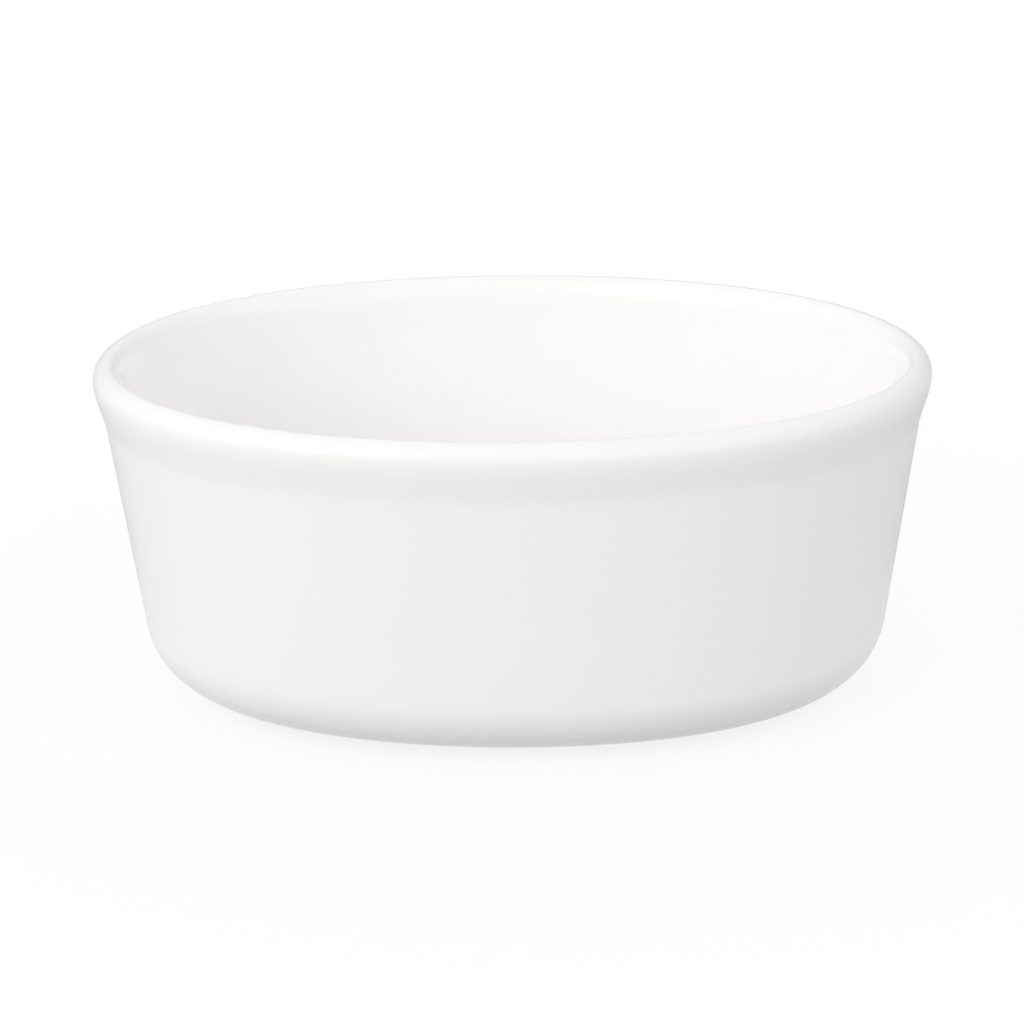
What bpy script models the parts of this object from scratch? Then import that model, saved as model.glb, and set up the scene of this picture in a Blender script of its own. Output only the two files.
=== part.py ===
"""Oval pie dish: one body of white glazed porcelain, shaped in a mould and fired.

Units are metres and +Z is up. The long axis is X, the short one is Y, and the origin is under the middle of the
dish, on the surface that it stands on. One upright section through floor, foot, wall and lip runs round an oval
plan. The wall keeps its thickness all round, and the plan changes on the way up, from a fuller oval at the foot to
nearly a true ellipse at the lip. So the body is a loft between unlike ovals and not a turned shape.
"""

import math

import bmesh
import bpy

# Overall size, measured over the lip
LENGTH = 0.160
WIDTH = 0.122
HEIGHT = 0.065

# Plan: how much further out than on a true ellipse the oval lies half way between its axes, as a share
LIP_FULLNESS = 0.0143
FOOT_FULLNESS = 0.0235

# Wall and floor: the draft is the wall's lean from upright, and the wall is measured square to its face
WALL_THICKNESS = 0.0048
WALL_DRAFT = math.radians(8.0)
FLOOR_THICKNESS = 0.0050

# Lip: a rounded bead that stands proud of the wall outside, where it fades into it through a cove, and that rolls
# off softly inside, over the height LIP_INNER_DROP
LIP_OUTER_RADIUS = 0.0030
LIP_OVERHANG = 0.0008
COVE_HEIGHT = 0.0077
LIP_INNER_DROP = 0.0040

# Rounded corners where the wall turns into the floor
OUTER_CORNER_RADIUS = 0.0138
INNER_CORNER_RADIUS = 0.0110

# Foot: a flat bare ring that the dish stands on. It holds the body a little off the table, and soft flanks lead
# from it out to the body and in to the glazed recess under the floor.
FOOT_WIDTH = 0.0036
FOOT_RISE = 0.0010
FOOT_OUTER_FLANK_WIDTH = 0.0012
FOOT_RECESS = 0.0018
FOOT_INNER_FLANK_WIDTH = 0.0020

# Fineness of the solid
PLAN_STEPS = 96
WALL_STEPS = 4
COVE_STEPS = 6
LIP_STEPS = 5
CORNER_STEPS = 8
FLANK_STEPS = 4

# Finish
GLAZE_COLOUR = (0.90, 0.90, 0.885, 1.0)
GLAZE_ROUGHNESS = 0.10
BARE_CLAY_COLOUR = (0.80, 0.785, 0.75, 1.0)
BARE_CLAY_ROUGHNESS = 0.75
SHARP_EDGE_ANGLE = math.radians(35.0)

# Heights that follow from the sizes above
LIP_WIDEST_HEIGHT = HEIGHT - LIP_OUTER_RADIUS
COVE_FOOT_HEIGHT = LIP_WIDEST_HEIGHT - COVE_HEIGHT
FLOOR_TOP_HEIGHT = FOOT_RECESS + FLOOR_THICKNESS


def clear_scene():
    """Removes every object, so that only the dish is left."""
    for thing in list(bpy.data.objects):
        bpy.data.objects.remove(thing, do_unlink=True)


def shares(steps):
    """Even shares from just after 0 up to 1, one for each step."""
    return [(step + 1) / steps for step in range(steps)]


def eased(share):
    """A share that starts and ends level, for a soft step from one line to another."""
    return share * share * (3.0 - 2.0 * share)


def outer_wall_inset(height):
    """How far the outer face's straight line lies inside the lip's outline."""
    return LIP_OVERHANG + (LIP_WIDEST_HEIGHT - height) * math.tan(WALL_DRAFT)


def inner_wall_inset(height):
    """The same for the inner face, one wall thickness further in."""
    return outer_wall_inset(height) + WALL_THICKNESS / math.cos(WALL_DRAFT)


def corner_centre(wall_inset, level, radius):
    """Centre of the round corner that touches a leaning wall and the level face under it."""
    height = level + radius
    return wall_inset(height) + radius / math.cos(WALL_DRAFT), height


def arc(centre, radius, start, stop, steps):
    """Points of an arc after its start: 0 points into the dish, a quarter turn on points up."""
    inset, height = centre
    turned = [start + (stop - start) * share for share in shares(steps)]
    return [(inset + radius * math.cos(angle), height + radius * math.sin(angle)) for angle in turned]


def straight(wall_inset, start_height, stop_height):
    """Points of a straight wall after its start."""
    heights = [start_height + (stop_height - start_height) * share for share in shares(WALL_STEPS)]
    return [(wall_inset(height), height) for height in heights]


def outer_corner_centre():
    """Centre of the outer corner, whose lowest point stands one foot's rise over the table."""
    return corner_centre(outer_wall_inset, FOOT_RISE, OUTER_CORNER_RADIUS)


def foot_ring_insets():
    """Insets of the flat ring's outer and inner edges."""
    outer_inset = outer_corner_centre()[0] + FOOT_OUTER_FLANK_WIDTH
    return outer_inset, outer_inset + FOOT_WIDTH


def foot_section():
    """Underside, from the recess's edge over the ring to where the outer corner starts."""
    outer_inset, inner_inset = foot_ring_insets()
    points = [(inner_inset + FOOT_INNER_FLANK_WIDTH, FOOT_RECESS)]
    for share in shares(FLANK_STEPS):
        points.append((inner_inset + FOOT_INNER_FLANK_WIDTH * (1.0 - share), FOOT_RECESS * (1.0 - eased(share))))
    points.append((outer_inset, 0.0))
    for share in shares(FLANK_STEPS):
        points.append((outer_inset - FOOT_OUTER_FLANK_WIDTH * share, FOOT_RISE * eased(share)))
    return points


def outer_section():
    """Outer face, from the foot's outer flank round the corner and up to the lip's widest point."""
    centre = outer_corner_centre()
    points = arc(centre, OUTER_CORNER_RADIUS, math.radians(270.0), math.radians(180.0) + WALL_DRAFT, CORNER_STEPS)
    points += straight(outer_wall_inset, points[-1][1], COVE_FOOT_HEIGHT)
    for share in shares(COVE_STEPS):
        height = COVE_FOOT_HEIGHT + COVE_HEIGHT * share
        points.append((outer_wall_inset(height) * eased(1.0 - share), height))
    return points


def lip_section():
    """Lip, from its widest point over the crest and down a quarter of a leaning ellipse to the inner face."""
    outer_centre = (LIP_OUTER_RADIUS, LIP_WIDEST_HEIGHT)
    crest = math.radians(90.0)
    points = arc(outer_centre, LIP_OUTER_RADIUS, math.radians(180.0), crest, LIP_STEPS)
    reach = inner_wall_inset(HEIGHT) - LIP_OUTER_RADIUS
    for share in shares(LIP_STEPS):
        angle = crest * share
        height = HEIGHT - LIP_INNER_DROP * (1.0 - math.cos(angle))
        points.append((inner_wall_inset(height) - reach * (1.0 - math.sin(angle)), height))
    return points


def inner_section(start_height):
    """Inner face, from the lip down and round the corner to the floor."""
    centre = corner_centre(inner_wall_inset, FLOOR_TOP_HEIGHT, INNER_CORNER_RADIUS)
    corner_top = centre[1] - INNER_CORNER_RADIUS * math.sin(WALL_DRAFT)
    points = straight(inner_wall_inset, start_height, corner_top)
    turn = (math.radians(180.0) + WALL_DRAFT, math.radians(270.0))
    return points + arc(centre, INNER_CORNER_RADIUS, *turn, CORNER_STEPS)


def oval(inset, height):
    """Points of the plan at one level of the section, anticlockwise seen from above."""
    fullness = FOOT_FULLNESS + (LIP_FULLNESS - FOOT_FULLNESS) * height / HEIGHT
    points = []
    for step in range(PLAN_STEPS):
        angle = 2.0 * math.pi * step / PLAN_STEPS
        swell = 1.0 + fullness * math.sin(2.0 * angle) ** 2
        along = (LENGTH / 2.0 - inset) * swell * math.cos(angle)
        across = (WIDTH / 2.0 - inset) * swell * math.sin(angle)
        points.append((along, across, height))
    return points


def plain_material(name, colour, roughness):
    """A Principled material without metal."""
    material = bpy.data.materials.new(name)
    material.use_nodes = True
    shader = material.node_tree.nodes["Principled BSDF"]
    shader.inputs["Base Color"].default_value = colour
    shader.inputs["Roughness"].default_value = roughness
    shader.inputs["Metallic"].default_value = 0.0
    material.diffuse_color = colour
    return material


def dish_mesh():
    """The closed body, with the foot ring's flat face in the second material."""
    foot = foot_section()
    lip = lip_section()
    section = foot + outer_section() + lip + inner_section(lip[-1][1])
    foot_face = FLANK_STEPS

    form = bmesh.new()
    rings = [[form.verts.new(point) for point in oval(inset, height)] for inset, height in section]
    form.faces.new(list(reversed(rings[0])))
    for level, (ring, next_ring) in enumerate(zip(rings, rings[1:])):
        for step in range(PLAN_STEPS):
            after = (step + 1) % PLAN_STEPS
            face = form.faces.new((ring[step], ring[after], next_ring[after], next_ring[step]))
            face.material_index = 1 if level == foot_face else 0
    form.faces.new(rings[-1])

    mesh = bpy.data.meshes.new("pie_dish")
    form.to_mesh(mesh)
    form.free()
    mesh.shade_smooth()
    mesh.set_sharp_from_angle(angle=SHARP_EDGE_ANGLE)
    return mesh


def build_dish():
    """The dish as one object, in a collection of its own."""
    dish = bpy.data.objects.new("pie_dish", dish_mesh())
    dish.data.materials.append(plain_material("white_glaze", GLAZE_COLOUR, GLAZE_ROUGHNESS))
    dish.data.materials.append(plain_material("bare_clay", BARE_CLAY_COLOUR, BARE_CLAY_ROUGHNESS))
    parts = bpy.data.collections.new("oval_pie_dish")
    bpy.context.scene.collection.children.link(parts)
    parts.objects.link(dish)


clear_scene()
build_dish()
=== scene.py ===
"""Looks of the oval pie dish: white glazed porcelain in a pale, softly lit studio.

The dish is one piece. Its section is drawn as a chain of points, spun round the upright axis and then
drawn out to the oval, with the wall as thick at the ends as at the sides. Lengths are metres, +Z is up, the
long axis is X, and the origin is under the middle of the dish, on the surface that it stands on.
"""

import logging
import math
from dataclasses import dataclass, field, replace
from enum import Enum

import bpy
import numpy as np
from mathutils import Matrix, Vector


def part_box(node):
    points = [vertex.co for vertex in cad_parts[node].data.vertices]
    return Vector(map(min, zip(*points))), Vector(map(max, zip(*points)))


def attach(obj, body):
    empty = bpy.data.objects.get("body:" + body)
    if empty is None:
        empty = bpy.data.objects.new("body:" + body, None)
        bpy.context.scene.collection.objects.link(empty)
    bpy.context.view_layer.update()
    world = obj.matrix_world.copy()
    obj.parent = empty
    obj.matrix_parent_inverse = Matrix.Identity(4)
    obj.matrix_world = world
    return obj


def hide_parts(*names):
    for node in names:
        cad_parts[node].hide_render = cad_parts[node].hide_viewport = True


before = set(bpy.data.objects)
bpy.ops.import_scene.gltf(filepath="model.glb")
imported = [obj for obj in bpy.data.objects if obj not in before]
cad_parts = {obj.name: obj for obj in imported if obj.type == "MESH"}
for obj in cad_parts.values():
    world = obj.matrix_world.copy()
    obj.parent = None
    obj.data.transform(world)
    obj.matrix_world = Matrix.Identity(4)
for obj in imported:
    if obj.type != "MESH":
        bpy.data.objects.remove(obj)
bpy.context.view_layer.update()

PICTURE_SIDE = 1024
MILLIMETRE = 0.001

# A noise texture stays near its middle value, and mostly within this range
NOISE_MIDDLE = 0.5
NOISE_RANGE = (0.3, 0.7)
WHOLE_RANGE = (0.0, 1.0)

log = logging.getLogger("oval_pie_dish")

Point = tuple[float, float]
Span = tuple[float, float]
Place = tuple[float, float, float]
Colour = tuple[float, float, float]


class Zone(Enum):
    """Surfaces of the dish that have a finish of their own, by material index."""

    GLAZE = 0
    BARE_CLAY = 1


class Depth(Enum):
    """How deep the glaze lies on a stretch of the section, from 0, bare, to 1, pooled."""

    BARE = 0.0
    THIN = 0.15
    EVEN = 0.35
    FULL = 0.8
    POOLED = 1.0


class Ramp(Enum):
    """How a number goes from one end of a range to the other, by Blender's name."""

    EVEN = "LINEAR"
    SOFT = "SMOOTHSTEP"


def eased(share: float) -> float:
    """Turns an even share into one that starts and ends level.

    Args:
        share: Position from 0 to 1.

    Returns:
        The eased position, also from 0 to 1.
    """
    return share * share * (3.0 - 2.0 * share)


def shares(steps: int) -> list[float]:
    """Lists even shares from just after 0 up to 1.

    Args:
        steps: How many shares.

    Returns:
        The shares in rising order.
    """
    return [(step + 1) / steps for step in range(steps)]


def arc(centre: Point, radius: float, start: float, stop: float, steps: int) -> list[Point]:
    """Draws an arc of the section without its first point.

    Args:
        centre: Inset and height of the arc's centre.
        radius: Radius of the arc.
        start: First angle in radians, where 0 points into the dish and a quarter turn points up.
        stop: Last angle in radians.
        steps: How many points.

    Returns:
        Points as inset and height.
    """
    inset, height = centre
    turned = [start + (stop - start) * share for share in shares(steps)]
    return [(inset + radius * math.cos(angle), height + radius * math.sin(angle)) for angle in turned]


def direction(azimuth: float, elevation: float) -> Vector:
    """Finds the direction in which a camera or a lamp lies, seen from the dish.

    Args:
        azimuth: Angle in radians from the front, positive to the right.
        elevation: Angle in radians over the horizon.

    Returns:
        The direction, with the length 1.
    """
    level = math.cos(elevation)
    return Vector((math.sin(azimuth) * level, -math.cos(azimuth) * level, math.sin(elevation)))


def vertex_places(mesh: bpy.types.Mesh) -> np.ndarray:
    """Reads where a mesh's vertices are.

    Args:
        mesh: The mesh.

    Returns:
        One row of x, y and z for each vertex.
    """
    places = np.empty(len(mesh.vertices) * 3)
    mesh.vertices.foreach_get("co", places)
    return places.reshape(-1, 3)


def select_nothing() -> None:
    """Leaves edit mode and deselects every object."""
    if bpy.context.object is not None and bpy.context.object.mode != "OBJECT":
        bpy.ops.object.mode_set(mode="OBJECT")
    bpy.ops.object.select_all(action="DESELECT")


@dataclass(frozen=True)
class NodeBoard:
    """A material's or world's node tree, with short ways to add and join its nodes."""

    tree: bpy.types.NodeTree

    def add(self, kind: str, settings: dict | None = None, values: dict | None = None) -> bpy.types.Node:
        """Adds a node.

        Args:
            kind: Blender's name of the node type.
            settings: Attributes of the node itself.
            values: Values of its input sockets, by name or by number.

        Returns:
            The new node.
        """
        node = self.tree.nodes.new(kind)
        for name, value in (settings or {}).items():
            setattr(node, name, value)
        for name, value in (values or {}).items():
            node.inputs[name].default_value = value
        return node

    def join(self, source: bpy.types.NodeSocket, target: bpy.types.NodeSocket) -> None:
        """Links an output socket to an input socket."""
        self.tree.links.new(source, target)

    def math(self, operation: str, first: object, second: object = 0.0) -> bpy.types.NodeSocket:
        """Adds a Math node.

        Args:
            operation: Blender's name of the operation.
            first: A socket or a number.
            second: A socket or a number.

        Returns:
            The result's socket.
        """
        node = self.add("ShaderNodeMath", {"operation": operation})
        for socket, value in zip(node.inputs, (first, second)):
            if isinstance(value, bpy.types.NodeSocket):
                self.join(value, socket)
            else:
                socket.default_value = value
        return node.outputs[0]

    def noise(self, where: bpy.types.NodeSocket, wavelength: float, detail: float) -> bpy.types.NodeSocket:
        """Adds a Noise texture.

        Args:
            where: Socket with the coordinates, in metres.
            wavelength: Rough distance from one swelling to the next, in metres.
            detail: How many finer layers are added.

        Returns:
            The noise's socket, from 0 to 1 and mostly near 0.5.
        """
        node = self.add("ShaderNodeTexNoise", None, {"Scale": 1.0 / wavelength, "Detail": detail})
        self.join(where, node.inputs["Vector"])
        return node.outputs["Fac"]

    def ranged(
        self, value: bpy.types.NodeSocket, old: Span, new: Span, ramp: Ramp = Ramp.EVEN
    ) -> bpy.types.NodeSocket:
        """Adds a Map Range node.

        Args:
            value: Socket with the number to map.
            old: Range of the number.
            new: Range that it is mapped to, and clamped to.
            ramp: How the number goes from one end to the other.

        Returns:
            The result's socket.
        """
        ends = {"From Min": old[0], "From Max": old[1], "To Min": new[0], "To Max": new[1]}
        node = self.add("ShaderNodeMapRange", {"interpolation_type": ramp.value}, ends)
        self.join(value, node.inputs["Value"])
        return node.outputs["Result"]

    def blend(self, share: bpy.types.NodeSocket, first: Colour, second: Colour) -> bpy.types.NodeSocket:
        """Adds a colour Mix node.

        Args:
            share: Socket that says how much of the second colour shows.
            first: First colour.
            second: Second colour.

        Returns:
            The mixed colour's socket.
        """
        node = self.add("ShaderNodeMix", {"data_type": "RGBA"})
        self.join(share, node.inputs["Factor"])
        colours = [socket for socket in node.inputs if socket.type == "RGBA"]
        colours[0].default_value = (*first, 1.0)
        colours[1].default_value = (*second, 1.0)
        return next(socket for socket in node.outputs if socket.type == "RGBA")


def new_material(name: str) -> tuple[bpy.types.Material, NodeBoard, bpy.types.Node]:
    """Makes a material with a Principled shader.

    Args:
        name: Name of the material.

    Returns:
        The material, its node board and its shader.
    """
    material = bpy.data.materials.new(name)
    material.use_nodes = True
    return material, NodeBoard(material.node_tree), material.node_tree.nodes["Principled BSDF"]


@dataclass(frozen=True)
class WhiteGlaze:
    """White gloss glaze, plain where it runs thin and a little creamier where it lies deep."""

    name: str = "white_glaze"
    thin_colour: Colour = (0.901, 0.901, 0.898)
    pooled_colour: Colour = (0.905, 0.896, 0.886)
    roughness: Span = (0.085, 0.135)
    refraction: float = 1.50
    cloud_wavelength: float = 34.0 * MILLIMETRE
    cloud_detail: float = 2.0
    cloud_share: float = 0.5
    smudge_wavelength: float = 19.0 * MILLIMETRE
    smudge_detail: float = 3.0
    ripple_wavelength: float = 11.0 * MILLIMETRE
    ripple_height: float = 0.006 * MILLIMETRE
    peel_wavelength: float = 1.3 * MILLIMETRE
    peel_height: float = 0.0006 * MILLIMETRE
    bump_detail: float = 1.0

    def material(self) -> bpy.types.Material:
        """Builds the glaze's material.

        Returns:
            The material.
        """
        material, board, shader = new_material(self.name)
        where = board.add("ShaderNodeTexCoord").outputs["Object"]
        depth = board.add("ShaderNodeAttribute", {"attribute_name": "glaze_depth"}).outputs["Fac"]

        cloud = board.noise(where, self.cloud_wavelength, self.cloud_detail)
        drift = board.math("MULTIPLY", board.math("SUBTRACT", cloud, NOISE_MIDDLE), self.cloud_share)
        share = board.math("ADD", depth, drift)
        clamped = board.ranged(share, WHOLE_RANGE, WHOLE_RANGE)
        board.join(board.blend(clamped, self.thin_colour, self.pooled_colour), shader.inputs["Base Color"])

        smudge = board.noise(where, self.smudge_wavelength, self.smudge_detail)
        board.join(board.ranged(smudge, NOISE_RANGE, self.roughness), shader.inputs["Roughness"])

        swell = board.noise(where, self.ripple_wavelength, self.bump_detail)
        ripple = board.math("MULTIPLY", swell, self.ripple_height)
        pits = board.noise(where, self.peel_wavelength, self.bump_detail)
        peel = board.math("MULTIPLY", pits, self.peel_height)
        bump = board.add("ShaderNodeBump", None, {"Strength": 1.0, "Distance": 1.0})
        board.join(board.math("ADD", ripple, peel), bump.inputs["Height"])
        board.join(bump.outputs["Normal"], shader.inputs["Normal"])

        shader.inputs["IOR"].default_value = self.refraction
        material.diffuse_color = (*self.thin_colour, 1.0)
        return material


@dataclass(frozen=True)
class BareClay:
    """Fired clay without glaze: matt, fine-grained and a little worn and darkened by the shelf."""

    name: str = "bare_clay"
    clean_colour: Colour = (0.80, 0.785, 0.75)
    worn_colour: Colour = (0.62, 0.59, 0.54)
    roughness: Span = (0.62, 0.85)
    grain_wavelength: float = 0.45 * MILLIMETRE
    grain_height: float = 0.02 * MILLIMETRE
    grain_detail: float = 3.0
    stain_wavelength: float = 7.0 * MILLIMETRE
    stain_detail: float = 4.0
    stained: Span = (0.48, 0.72)

    def material(self) -> bpy.types.Material:
        """Builds the bare clay's material.

        Returns:
            The material.
        """
        material, board, shader = new_material(self.name)
        where = board.add("ShaderNodeTexCoord").outputs["Object"]
        grain = board.noise(where, self.grain_wavelength, self.grain_detail)
        stain = board.noise(where, self.stain_wavelength, self.stain_detail)
        worn = board.ranged(stain, self.stained, WHOLE_RANGE)
        board.join(board.blend(worn, self.clean_colour, self.worn_colour), shader.inputs["Base Color"])
        board.join(board.ranged(grain, NOISE_RANGE, self.roughness), shader.inputs["Roughness"])
        bump = board.add("ShaderNodeBump", None, {"Strength": 1.0, "Distance": 1.0})
        board.join(board.math("MULTIPLY", grain, self.grain_height), bump.inputs["Height"])
        board.join(bump.outputs["Normal"], shader.inputs["Normal"])
        material.diffuse_color = (*self.clean_colour, 1.0)
        return material


@dataclass
class SectionPoint:
    """One point of the dish's section."""

    inset: float
    height: float
    depth: Depth = Depth.EVEN


@dataclass
class PieDish:
    """The dish: foot ring, round corners, leaning wall, cove and rounded lip, in one body."""

    length: float
    width: float
    height: float
    lip_fullness: float = 0.0143
    foot_fullness: float = 0.0235
    wall_thickness: float = 4.8 * MILLIMETRE
    wall_draft: float = math.radians(8.0)
    floor_thickness: float = 5.0 * MILLIMETRE
    lip_outer_radius: float = 3.0 * MILLIMETRE
    lip_overhang: float = 0.8 * MILLIMETRE
    cove_height: float = 9.0 * MILLIMETRE
    lip_inner_drop: float = 4.0 * MILLIMETRE
    outer_corner_radius: float = 13.8 * MILLIMETRE
    inner_corner_radius: float = 11.0 * MILLIMETRE
    foot_width: float = 3.6 * MILLIMETRE
    foot_rise: float = 1.0 * MILLIMETRE
    foot_outer_flank_width: float = 1.2 * MILLIMETRE
    foot_recess: float = 1.8 * MILLIMETRE
    foot_inner_flank_width: float = 2.0 * MILLIMETRE
    glaze_coat: float = 0.22 * MILLIMETRE
    bare_height: float = 0.45 * MILLIMETRE
    flow_length: float = 2.5 * MILLIMETRE
    plan_steps: int = 192
    level_steps: int = 8
    wall_steps: int = 16
    cove_steps: int = 18
    outer_corner_steps: int = 20
    inner_corner_steps: int = 18
    lip_outer_steps: int = 12
    lip_inner_steps: int = 14
    ring_steps: int = 3
    flank_bare_steps: int = 8
    flank_glaze_steps: int = 14
    flank_search_steps: int = 500
    merge_distance: float = 0.001 * MILLIMETRE
    glaze: WhiteGlaze = field(default_factory=WhiteGlaze)
    clay: BareClay = field(default_factory=BareClay)

    def lip_widest_height(self) -> float:
        """Height at which the lip is widest."""
        return self.height - self.lip_outer_radius

    def outer_wall_inset(self, height: float) -> float:
        """How far the outer face's straight line lies inside the lip's outline at a height."""
        return self.lip_overhang + (self.lip_widest_height() - height) * math.tan(self.wall_draft)

    def inner_wall_inset(self, height: float) -> float:
        """The same for the inner face, one wall thickness further in."""
        return self.outer_wall_inset(height) + self.wall_thickness / math.cos(self.wall_draft)

    def outer_corner_centre(self) -> Point:
        """Centre of the outer corner, whose lowest point stands one foot's rise over the table."""
        height = self.foot_rise + self.outer_corner_radius
        return self.outer_wall_inset(height) + self.outer_corner_radius / math.cos(self.wall_draft), height

    def inner_corner_centre(self) -> Point:
        """Centre of the inner corner, which ends level with the floor."""
        height = self.foot_recess + self.floor_thickness + self.inner_corner_radius
        return self.inner_wall_inset(height) + self.inner_corner_radius / math.cos(self.wall_draft), height

    def ring_insets(self) -> Span:
        """Insets of the flat ring's outer and inner edges."""
        outer = self.outer_corner_centre()[0] + self.foot_outer_flank_width
        return outer, outer + self.foot_width

    def flank(self, start: float, reach: float, rise: float) -> list[SectionPoint]:
        """Draws a flank of the foot ring, from the ring's edge up to where it ends level.

        The clay leaves the solid's outline by the thickness of the glaze, and the glaze's rounded edge comes
        back to it.

        Args:
            start: Inset of the ring's edge.
            reach: How far the flank goes, less than 0 where it goes outwards.
            rise: Height of the flank's end.

        Returns:
            Points of the section, without the ring's edge itself.
        """
        side = math.copysign(1.0, reach)
        tried = [step / self.flank_search_steps for step in range(self.flank_search_steps)]
        glaze_start = next(share for share in tried if rise * eased(share) >= self.bare_height)
        bare = [glaze_start * share for share in shares(self.flank_bare_steps)]
        # The steps crowd together where the glaze starts, for its rounded edge
        edge = [glaze_start + (1.0 - glaze_start) * share ** 2 for share in shares(self.flank_glaze_steps)]
        points = []
        for share in bare + edge:
            slope = rise * 6.0 * share * (1.0 - share) / abs(reach)
            tilt = math.atan(slope)
            if share <= glaze_start:
                sunk = eased(share / glaze_start)
                depth = Depth.BARE
            else:
                past = min((share - glaze_start) * abs(reach) / math.cos(tilt) / self.glaze_coat, 1.0)
                sunk = 1.0 - math.sqrt(1.0 - (1.0 - past) ** 2)
                depth = Depth.FULL
            inset = start + reach * share - side * self.glaze_coat * sunk * math.sin(tilt)
            height = rise * eased(share) + self.glaze_coat * sunk * math.cos(tilt)
            points.append(SectionPoint(inset, height, depth))
        return points

    def foot_points(self) -> list[SectionPoint]:
        """Draws the underside from the recess over the bare ring to the outer corner.

        Returns:
            Points of the section, with the ring and the feet of its flanks in bare clay.
        """
        outer, inner = self.ring_insets()
        recess = self.flank(inner, self.foot_inner_flank_width, self.foot_recess)
        across = [0.0] + shares(self.ring_steps)
        ring = [SectionPoint(inner + (outer - inner) * share, 0.0, Depth.BARE) for share in across]
        return recess[::-1] + ring + self.flank(outer, -self.foot_outer_flank_width, self.foot_rise)

    def outer_points(self) -> list[SectionPoint]:
        """Draws the outer face from the foot round the corner and up to the lip's widest point.

        The glaze that pools in the cove makes it a little longer and softer than the clay's own.

        Returns:
            Points of the section.
        """
        centre = self.outer_corner_centre()
        turn = (math.radians(270.0), math.radians(180.0) + self.wall_draft)
        corner = arc(centre, self.outer_corner_radius, *turn, self.outer_corner_steps)
        points = [SectionPoint(inset, height) for inset, height in corner]
        foot, top = corner[-1][1], self.lip_widest_height() - self.cove_height
        for share in shares(self.wall_steps):
            height = foot + (top - foot) * share
            points.append(SectionPoint(self.outer_wall_inset(height), height))
        lean = self.cove_height * math.tan(self.wall_draft)
        for share in shares(self.cove_steps):
            height = top + self.cove_height * share
            below = 1.0 - share
            inset = self.lip_overhang * eased(below) + lean * below * below * (2.0 - below)
            points.append(SectionPoint(inset, height, Depth.FULL))
        return points

    def lip_points(self) -> list[SectionPoint]:
        """Draws the lip from its widest point over the crest and down a leaning ellipse to the inner face.

        Returns:
            Points of the section.
        """
        outer_centre = (self.lip_outer_radius, self.lip_widest_height())
        crest = math.radians(90.0)
        rounded = arc(outer_centre, self.lip_outer_radius, math.radians(180.0), crest, self.lip_outer_steps)
        reach = self.inner_wall_inset(self.height) - self.lip_outer_radius
        for share in shares(self.lip_inner_steps):
            height = self.height - self.lip_inner_drop * (1.0 - math.cos(crest * share))
            rounded.append((self.inner_wall_inset(height) - reach * (1.0 - math.sin(crest * share)), height))
        return [SectionPoint(inset, height, Depth.THIN) for inset, height in rounded]

    def inner_points(self, top: float) -> list[SectionPoint]:
        """Draws the inner face from the lip down and round the corner to the floor.

        Args:
            top: Height at which the lip ends.

        Returns:
            Points of the section.
        """
        centre = self.inner_corner_centre()
        foot = centre[1] - self.inner_corner_radius * math.sin(self.wall_draft)
        points = []
        for share in shares(self.wall_steps):
            height = top + (foot - top) * share
            points.append(SectionPoint(self.inner_wall_inset(height), height, Depth.FULL))
        turn = (math.radians(180.0) + self.wall_draft, math.radians(270.0))
        corner = arc(centre, self.inner_corner_radius, *turn, self.inner_corner_steps)
        return points + [SectionPoint(inset, height, Depth.POOLED) for inset, height in corner]

    def section(self) -> list[SectionPoint]:
        """Draws the whole section.

        Returns:
            Points from the middle of the underside round the lip to the middle of the inner floor.
        """
        lip = self.lip_points()
        rim = self.foot_points() + self.outer_points() + lip + self.inner_points(lip[-1].height)
        first, last = rim[0], rim[-1]
        middle = self.length / 2.0
        underside, floor = [], []
        for share in shares(self.level_steps):
            underside.append(replace(first, inset=first.inset + (middle - first.inset) * share))
            floor.append(replace(last, inset=last.inset + (middle - last.inset) * share, depth=Depth.FULL))
        return underside[::-1] + rim + floor

    def spin_section(self, points: list[SectionPoint]) -> bpy.types.Object:
        """Extrudes the section point by point and spins it round the upright axis.

        Args:
            points: The section.

        Returns:
            The turned dish, round and closed.
        """
        radius = self.length / 2.0
        places = [Vector((radius - point.inset, 0.0, point.height)) for point in points]
        select_nothing()
        # A small plane is merged into the section's first point
        bpy.ops.mesh.primitive_plane_add(size=MILLIMETRE, location=places[0])
        dish = bpy.context.object
        dish.name = dish.data.name = "oval_dish"
        bpy.ops.object.transform_apply(location=True, rotation=True, scale=True)
        bpy.ops.object.mode_set(mode="EDIT")
        bpy.ops.mesh.select_mode(type="VERT")
        bpy.ops.mesh.select_all(action="SELECT")
        bpy.ops.mesh.merge(type="CENTER")
        for here, there in zip(places, places[1:]):
            bpy.ops.mesh.extrude_vertices_move(TRANSFORM_OT_translate={"value": there - here})
        bpy.ops.mesh.select_all(action="SELECT")
        upright, middle = (0.0, 0.0, 1.0), (0.0, 0.0, 0.0)
        bpy.ops.mesh.spin(steps=self.plan_steps, angle=2.0 * math.pi, center=middle, axis=upright)
        bpy.ops.mesh.select_all(action="SELECT")
        bpy.ops.mesh.remove_doubles(threshold=self.merge_distance)
        bpy.ops.mesh.normals_make_consistent(inside=False)
        bpy.ops.object.mode_set(mode="OBJECT")
        return dish

    def coat(self, dish: bpy.types.Object, points: list[SectionPoint]) -> None:
        """Gives the turned dish its materials and writes down how deep the glaze lies.

        Args:
            dish: The turned dish.
            points: The section that it was spun from.
        """
        mesh = dish.data
        for material in (self.glaze.material(), self.clay.material()):
            mesh.materials.append(material)
        drawn = np.array([(self.length / 2.0 - point.inset, point.height) for point in points])
        depths = np.array([point.depth.value for point in points])
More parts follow.
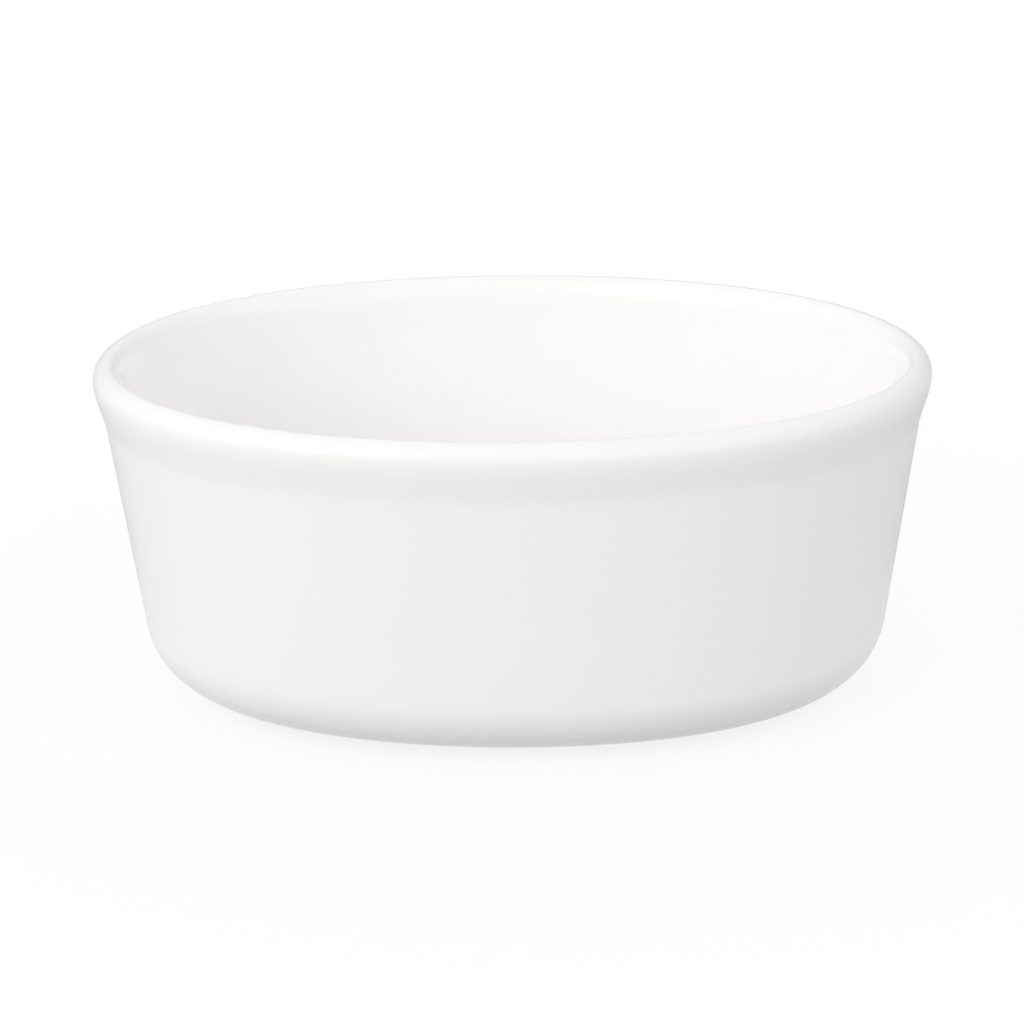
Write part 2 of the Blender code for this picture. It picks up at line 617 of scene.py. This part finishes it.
        # The depths flow into each other along the section
        steps = np.hypot(*np.diff(drawn, axis=0).T)
        along = np.concatenate(([0.0], np.cumsum(steps)))
        spans = np.gradient(along)
        near = np.exp(-((along[:, None] - along[None, :]) / self.flow_length) ** 2) * spans[None, :]
        flowed = near @ depths / near.sum(axis=1)

        # Each vertex takes the depth of the section's point that it was turned from
        places = vertex_places(mesh)
        turned = np.column_stack((np.hypot(places[:, 0], places[:, 1]), places[:, 2]))
        apart = ((turned[:, None, :] - drawn[None, :, :]) ** 2).sum(axis=2)
        nearest = apart.argmin(axis=1)
        layer = mesh.attributes.new("glaze_depth", "FLOAT", "POINT")
        layer.data.foreach_set("value", flowed[nearest])
        bare = depths[nearest] == Depth.BARE.value
        for face in mesh.polygons:
            covered = not all(bare[corner] for corner in face.vertices)
            face.material_index = (Zone.GLAZE if covered else Zone.BARE_CLAY).value

    def draw_out(self, dish: bpy.types.Object) -> None:
        """Moves the points of the turned dish out to the oval, with the wall as thick all round.

        Args:
            dish: The turned dish.
        """
        mesh = dish.data
        places = vertex_places(mesh)
        level_inset = max(self.ring_insets()[1] + self.foot_inner_flank_width, self.inner_corner_centre()[0])
        level_radius = self.length / 2.0 - level_inset
        # Outside the level middle each inset stays as drawn, and inside it the oval shrinks evenly to a point
        radius = np.hypot(places[:, 0], places[:, 1])
        angle = np.arctan2(places[:, 1], places[:, 0])
        reach = np.maximum(radius, level_radius)
        inward = np.minimum(radius / level_radius, 1.0)
        fullness = self.foot_fullness + (self.lip_fullness - self.foot_fullness) * places[:, 2] / self.height
        swell = (1.0 + fullness * np.sin(2.0 * angle) ** 2) * inward
        places[:, 0] = reach * swell * np.cos(angle)
        places[:, 1] = (reach - (self.length - self.width) / 2.0) * swell * np.sin(angle)
        mesh.vertices.foreach_set("co", places.ravel())
        mesh.update()

    def build(self) -> bpy.types.Object:
        """Models and dresses the dish.

        Returns:
            The finished piece.
        """
        points = self.section()
        dish = self.spin_section(points)
        self.coat(dish, points)
        self.draw_out(dish)
        select_nothing()
        dish.select_set(True)
        bpy.context.view_layer.objects.active = dish
        bpy.ops.object.shade_smooth()
        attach(dish, "root")
        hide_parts("pie_dish")
        return dish


@dataclass(frozen=True)
class SoftLamp:
    """A large round soft lamp that points at the dish."""

    name: str
    azimuth: float
    elevation: float
    distance: float
    width: float
    power: float
    aim: Place = (0.0, 0.0, 0.04)

    def build(self) -> bpy.types.Object:
        """Hangs the lamp, with azimuth 0 at the front and a positive azimuth on the right.

        Returns:
            The lamp.
        """
        back = direction(self.azimuth, self.elevation)
        data = bpy.data.lights.new(self.name, "AREA")
        data.shape = "DISK"
        data.size = self.width
        data.energy = self.power
        lamp = bpy.data.objects.new(self.name, data)
        bpy.context.scene.collection.objects.link(lamp)
        turned = back.to_track_quat("Z", "Y").to_matrix().to_4x4()
        lamp.matrix_world = Matrix.Translation(Vector(self.aim) + self.distance * back) @ turned
        return lamp


@dataclass
class Studio:
    """A pale floor that looks white, a white room with bright walls and a soft lamp at the front left."""

    floor_side: float = 4.0
    floor_roughness: float = 0.9
    bounce_colour: Colour = (0.60, 0.60, 0.60)
    seen_colour: Colour = (0.93, 0.93, 0.93)
    shadow_reach: Span = (0.085, 0.24)
    shadow_share: float = 0.16
    # Painted reflection: how far from the dish, and how far to its front, the floor glows white in the
    # glaze's reflections only
    painted_reflection_reach: Span = (0.09, 0.16)
    painted_reflection_depth: Span = (-0.07, 0.07)
    painted_reflection_far_share: float = 0.25
    floor_level_light: float = 0.5
    wall_light: float = 1.7
    ceiling_light: float = 0.1
    wall_rise: Span = (0.0, 0.60)
    ceiling_start: Span = (0.68, 0.88)
    mirrored_back: float = 0.55
    background: Colour = (1.0, 1.0, 1.0)
    key: SoftLamp = SoftLamp(
        name="key",
        azimuth=math.radians(-40.0),
        elevation=math.radians(30.0),
        distance=1.4,
        width=0.9,
        power=4.6,
    )

    def floor_material(self) -> bpy.types.Material:
        """Builds the floor's material.

        It is white to the eye, with the dish's faint shadow, and pale for the light that it throws back.
        Near the dish and in front of it, it glows white in the glaze's reflections only. This is a painted
        reflection that lightens the dish's lower corner where the floor lies in the dish's shade.

        Returns:
            The material.
        """
        material, board, shader = new_material("studio_floor")
        shader.inputs["Roughness"].default_value = self.floor_roughness
        shader.inputs["Specular IOR Level"].default_value = 0.0
        path = board.add("ShaderNodeLightPath")
        eye = path.outputs["Is Camera Ray"]
        board.join(board.blend(eye, self.bounce_colour, self.seen_colour), shader.inputs["Base Color"])

        where = board.add("ShaderNodeTexCoord").outputs["Object"]
        length = board.add("ShaderNodeVectorMath", {"operation": "LENGTH"})
        board.join(where, length.inputs[0])
        distance = length.outputs["Value"]
        open_floor = board.ranged(distance, self.shadow_reach, (1.0 - self.shadow_share, 1.0))
        parted = board.add("ShaderNodeSeparateXYZ")
        board.join(where, parted.inputs[0])
        # Painted reflection: close to the dish and in front of it, the floor shows the glaze pure white
        # instead of its own shaded floor, which lightens the dish's lower corner
        near = board.ranged(distance, self.painted_reflection_reach, (1.0, self.painted_reflection_far_share))
        front = board.ranged(parted.outputs["Y"], self.painted_reflection_depth, (1.0, self.painted_reflection_far_share))
        painted_reflection_glow = board.math("MULTIPLY", near, front)
        mirrored = board.math("MAXIMUM", path.outputs["Is Glossy Ray"], path.outputs["Is Transmission Ray"])
        to_eye = board.math("MULTIPLY", eye, open_floor)
        painted_reflection_for_glaze = board.math("MULTIPLY", mirrored, painted_reflection_glow)

        white = board.add("ShaderNodeEmission", None, {"Color": (*self.background, 1.0), "Strength": 1.0})
        mix = board.add("ShaderNodeMixShader")
        board.join(board.math("MAXIMUM", to_eye, painted_reflection_for_glaze), mix.inputs["Fac"])
        board.join(shader.outputs["BSDF"], mix.inputs[1])
        board.join(white.outputs["Emission"], mix.inputs[2])
        board.join(mix.outputs["Shader"], material.node_tree.nodes["Material Output"].inputs["Surface"])
        return material

    def build_floor(self) -> bpy.types.Object:
        """Lays the floor under the dish.

        Returns:
            The floor.
        """
        select_nothing()
        bpy.ops.mesh.primitive_plane_add(size=self.floor_side, location=(0.0, 0.0, 0.0))
        floor = bpy.context.object
        floor.name = "studio_floor"
        floor.data.materials.append(self.floor_material())
        return floor

    def build_room(self) -> bpy.types.World:
        """Makes the world: white to the eye, and plain soft light on the dish.

        Returns:
            The world.
        """
        world = bpy.data.worlds.new("studio_room")
        bpy.context.scene.world = world
        world.use_nodes = True
        board = NodeBoard(world.node_tree)
        world.node_tree.nodes.clear()
        path = board.add("ShaderNodeLightPath")
        eye = path.outputs["Is Camera Ray"]
        mirrored = board.math("MAXIMUM", path.outputs["Is Glossy Ray"], path.outputs["Is Transmission Ray"])
        parted = board.add("ShaderNodeSeparateXYZ")
        board.join(board.add("ShaderNodeTexCoord").outputs["Generated"], parted.inputs[0])
        height = parted.outputs["Z"]

        light = board.add("ShaderNodeBackground", None, {"Color": (1.0, 1.0, 1.0, 1.0)})
        walls = board.ranged(height, self.wall_rise, (self.floor_level_light, self.wall_light), Ramp.SOFT)
        dimmed = (1.0, self.ceiling_light / self.wall_light)
        above = board.ranged(height, self.ceiling_start, dimmed, Ramp.SOFT)
        board.join(board.math("MULTIPLY", walls, above), light.inputs["Strength"])
        white = board.add("ShaderNodeBackground", None, {"Color": (*self.background, 1.0)})
        pale = board.ranged(parted.outputs["Y"], (-1.0, 1.0), (1.0, self.mirrored_back))
        board.join(board.math("MAXIMUM", pale, eye), white.inputs["Strength"])
        mix = board.add("ShaderNodeMixShader")
        board.join(board.math("MAXIMUM", eye, mirrored), mix.inputs["Fac"])
        board.join(light.outputs["Background"], mix.inputs[1])
        board.join(white.outputs["Background"], mix.inputs[2])
        output = board.add("ShaderNodeOutputWorld")
        board.join(mix.outputs["Shader"], output.inputs["Surface"])
        return world

    def build(self) -> None:
        """Lays the floor, lights the room and hangs the lamp."""
        self.build_floor()
        self.build_room()
        self.key.build()
        bpy.context.scene.view_settings.view_transform = "Standard"


@dataclass(frozen=True)
class PhotoCamera:
    """The photograph's camera, fitted to the outline of the dish."""

    azimuth: float = math.radians(3.243)
    elevation: float = math.radians(18.770)
    roll: float = math.radians(-0.913)
    distance: float = 0.600
    focal_pixels: float = 3083.0
    aim: Place = (-0.000279, 0.0, 0.032567)
    sensor_width: float = 36.0
    clip: Span = (0.01, 20.0)

    def build(self) -> bpy.types.Object:
        """Places the camera.

        Returns:
            The camera.
        """
        back = direction(self.azimuth, self.elevation)
        right = Vector((math.cos(self.azimuth), math.sin(self.azimuth), 0.0))
        up = back.cross(right)
        turned = Matrix((right, up, back)).transposed() @ Matrix.Rotation(self.roll, 3, "Z")
        data = bpy.data.cameras.new("photo_camera")
        data.sensor_width = self.sensor_width
        data.lens = self.focal_pixels * self.sensor_width / PICTURE_SIDE
        data.clip_start, data.clip_end = self.clip
        camera = bpy.data.objects.new("photo_camera", data)
        bpy.context.scene.collection.objects.link(camera)
        camera.matrix_world = Matrix.Translation(Vector(self.aim) + self.distance * back) @ turned.to_4x4()
        bpy.context.scene.camera = camera
        return camera


def report_piece(piece: bpy.types.Object) -> None:
    """Logs a finished piece's size and number of triangles.

    Args:
        piece: The piece.
    """
    mesh = piece.data
    mesh.calc_loop_triangles()
    size = " x ".join(f"{side / MILLIMETRE:.2f}" for side in piece.dimensions)
    log.info("%s: %s mm, %d triangles", piece.name, size, len(mesh.loop_triangles))


def main() -> None:
    """Builds the dish, the studio and the camera."""
    logging.basicConfig(level=logging.INFO, format="%(name)s: %(message)s")
    low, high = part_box("pie_dish")
    dish = PieDish(*(high - low)).build()
    report_piece(dish)
    Studio().build()
    PhotoCamera().build()


if __name__ == "__main__":
    main()
